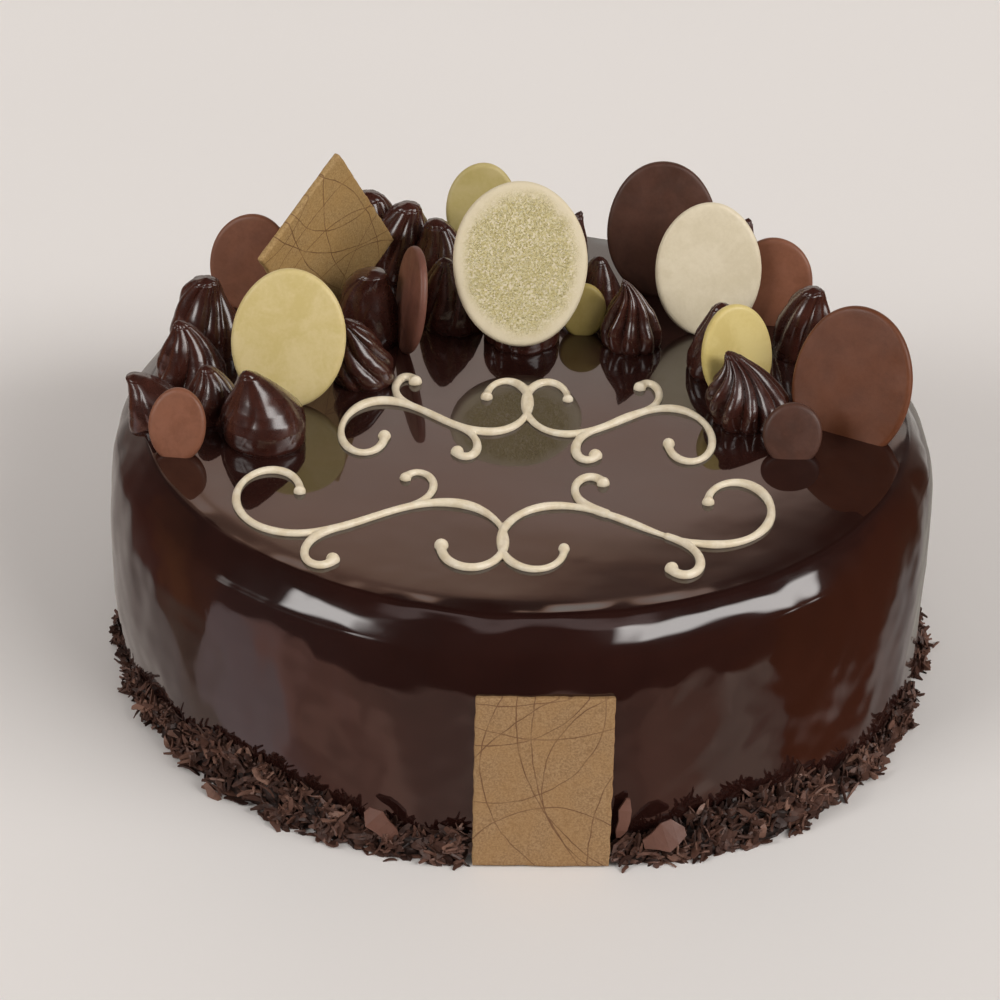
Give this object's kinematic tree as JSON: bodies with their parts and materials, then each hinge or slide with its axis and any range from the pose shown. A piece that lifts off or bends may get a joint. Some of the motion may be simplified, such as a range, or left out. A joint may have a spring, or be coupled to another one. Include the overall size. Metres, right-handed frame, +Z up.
{
  "type": "chocolate mud cake",
  "caption": "Round chocolate mud cake under a dark mirror glaze, with shavings round its foot, piped rosettes, chocolate discs, plaques and cream scrollwork.",
  "frame": {"origin": "middle of the flat underside of the cake, where it stands on its plate or board", "axes": "+Z up; the front, with the plaque on the side, faces -Y; +X is to the right seen from the front"},
  "size_m": [0.2237, 0.2273, 0.1193],
  "materials": {
    "glaze": "smooth dark chocolate mirror glaze, high gloss, slightly uneven on the side",
    "ganache": "dark chocolate ganache, piped with a star nozzle and glossy",
    "shavings": "grated dark chocolate flakes with a dull satin surface",
    "transfer": "thin caramel-brown chocolate plaque with a fine grain and a loose net of thin dark lines",
    "milk_chocolate": "cast milk chocolate disc with a soft satin surface",
    "dark_chocolate": "cast dark chocolate disc with a soft satin surface",
    "yellow_chocolate": "cast pale yellow white-chocolate disc with a soft satin surface",
    "white_chocolate": "cast ivory white-chocolate disc with a soft satin surface",
    "speckled_chocolate": "ivory disc dusted with gold and cream grains, paler at the rim",
    "cream": "piped pale cream icing, softly glossy"
  },
  "bodies": {
    "root": {"cake": "glaze", "shavings_ring": "shavings", "plaque_front": "transfer", "plaque_top": "transfer", "disc_milk_back_left": "milk_chocolate", "disc_yellow_left": "yellow_chocolate", "disc_milk_small_left": "milk_chocolate", "disc_dark_turned": "dark_chocolate", "disc_yellow_back": "yellow_chocolate", "disc_speckled": "speckled_chocolate", "disc_yellow_tiny": "yellow_chocolate", "disc_dark_back": "dark_chocolate", "disc_white": "white_chocolate", "disc_milk_back_right": "milk_chocolate", "disc_yellow_small": "yellow_chocolate", "disc_milk_right": "milk_chocolate", "disc_dark_small": "dark_chocolate", "rosette_front_left": "ganache", "rosette_left_front": "ganache", "rosette_left_back": "ganache", "rosette_left_inner": "ganache", "rosette_left_rim": "ganache", "rosette_mid_left": "ganache", "rosette_mid_left_back": "ganache", "rosette_back_a": "ganache", "rosette_back_b": "ganache", "rosette_back_c": "ganache", "rosette_mid_back": "ganache", "rosette_centre": "ganache", "rosette_back_mid": "ganache", "rosette_back_low": "ganache", "rosette_mid_right": "ganache", "rosette_right_inner": "ganache", "rosette_right": "ganache", "rosette_right_back": "ganache", "rosette_back_right": "ganache", "piping_upper": "cream", "piping_lower": "cream"}
  },
  "joints": []
}
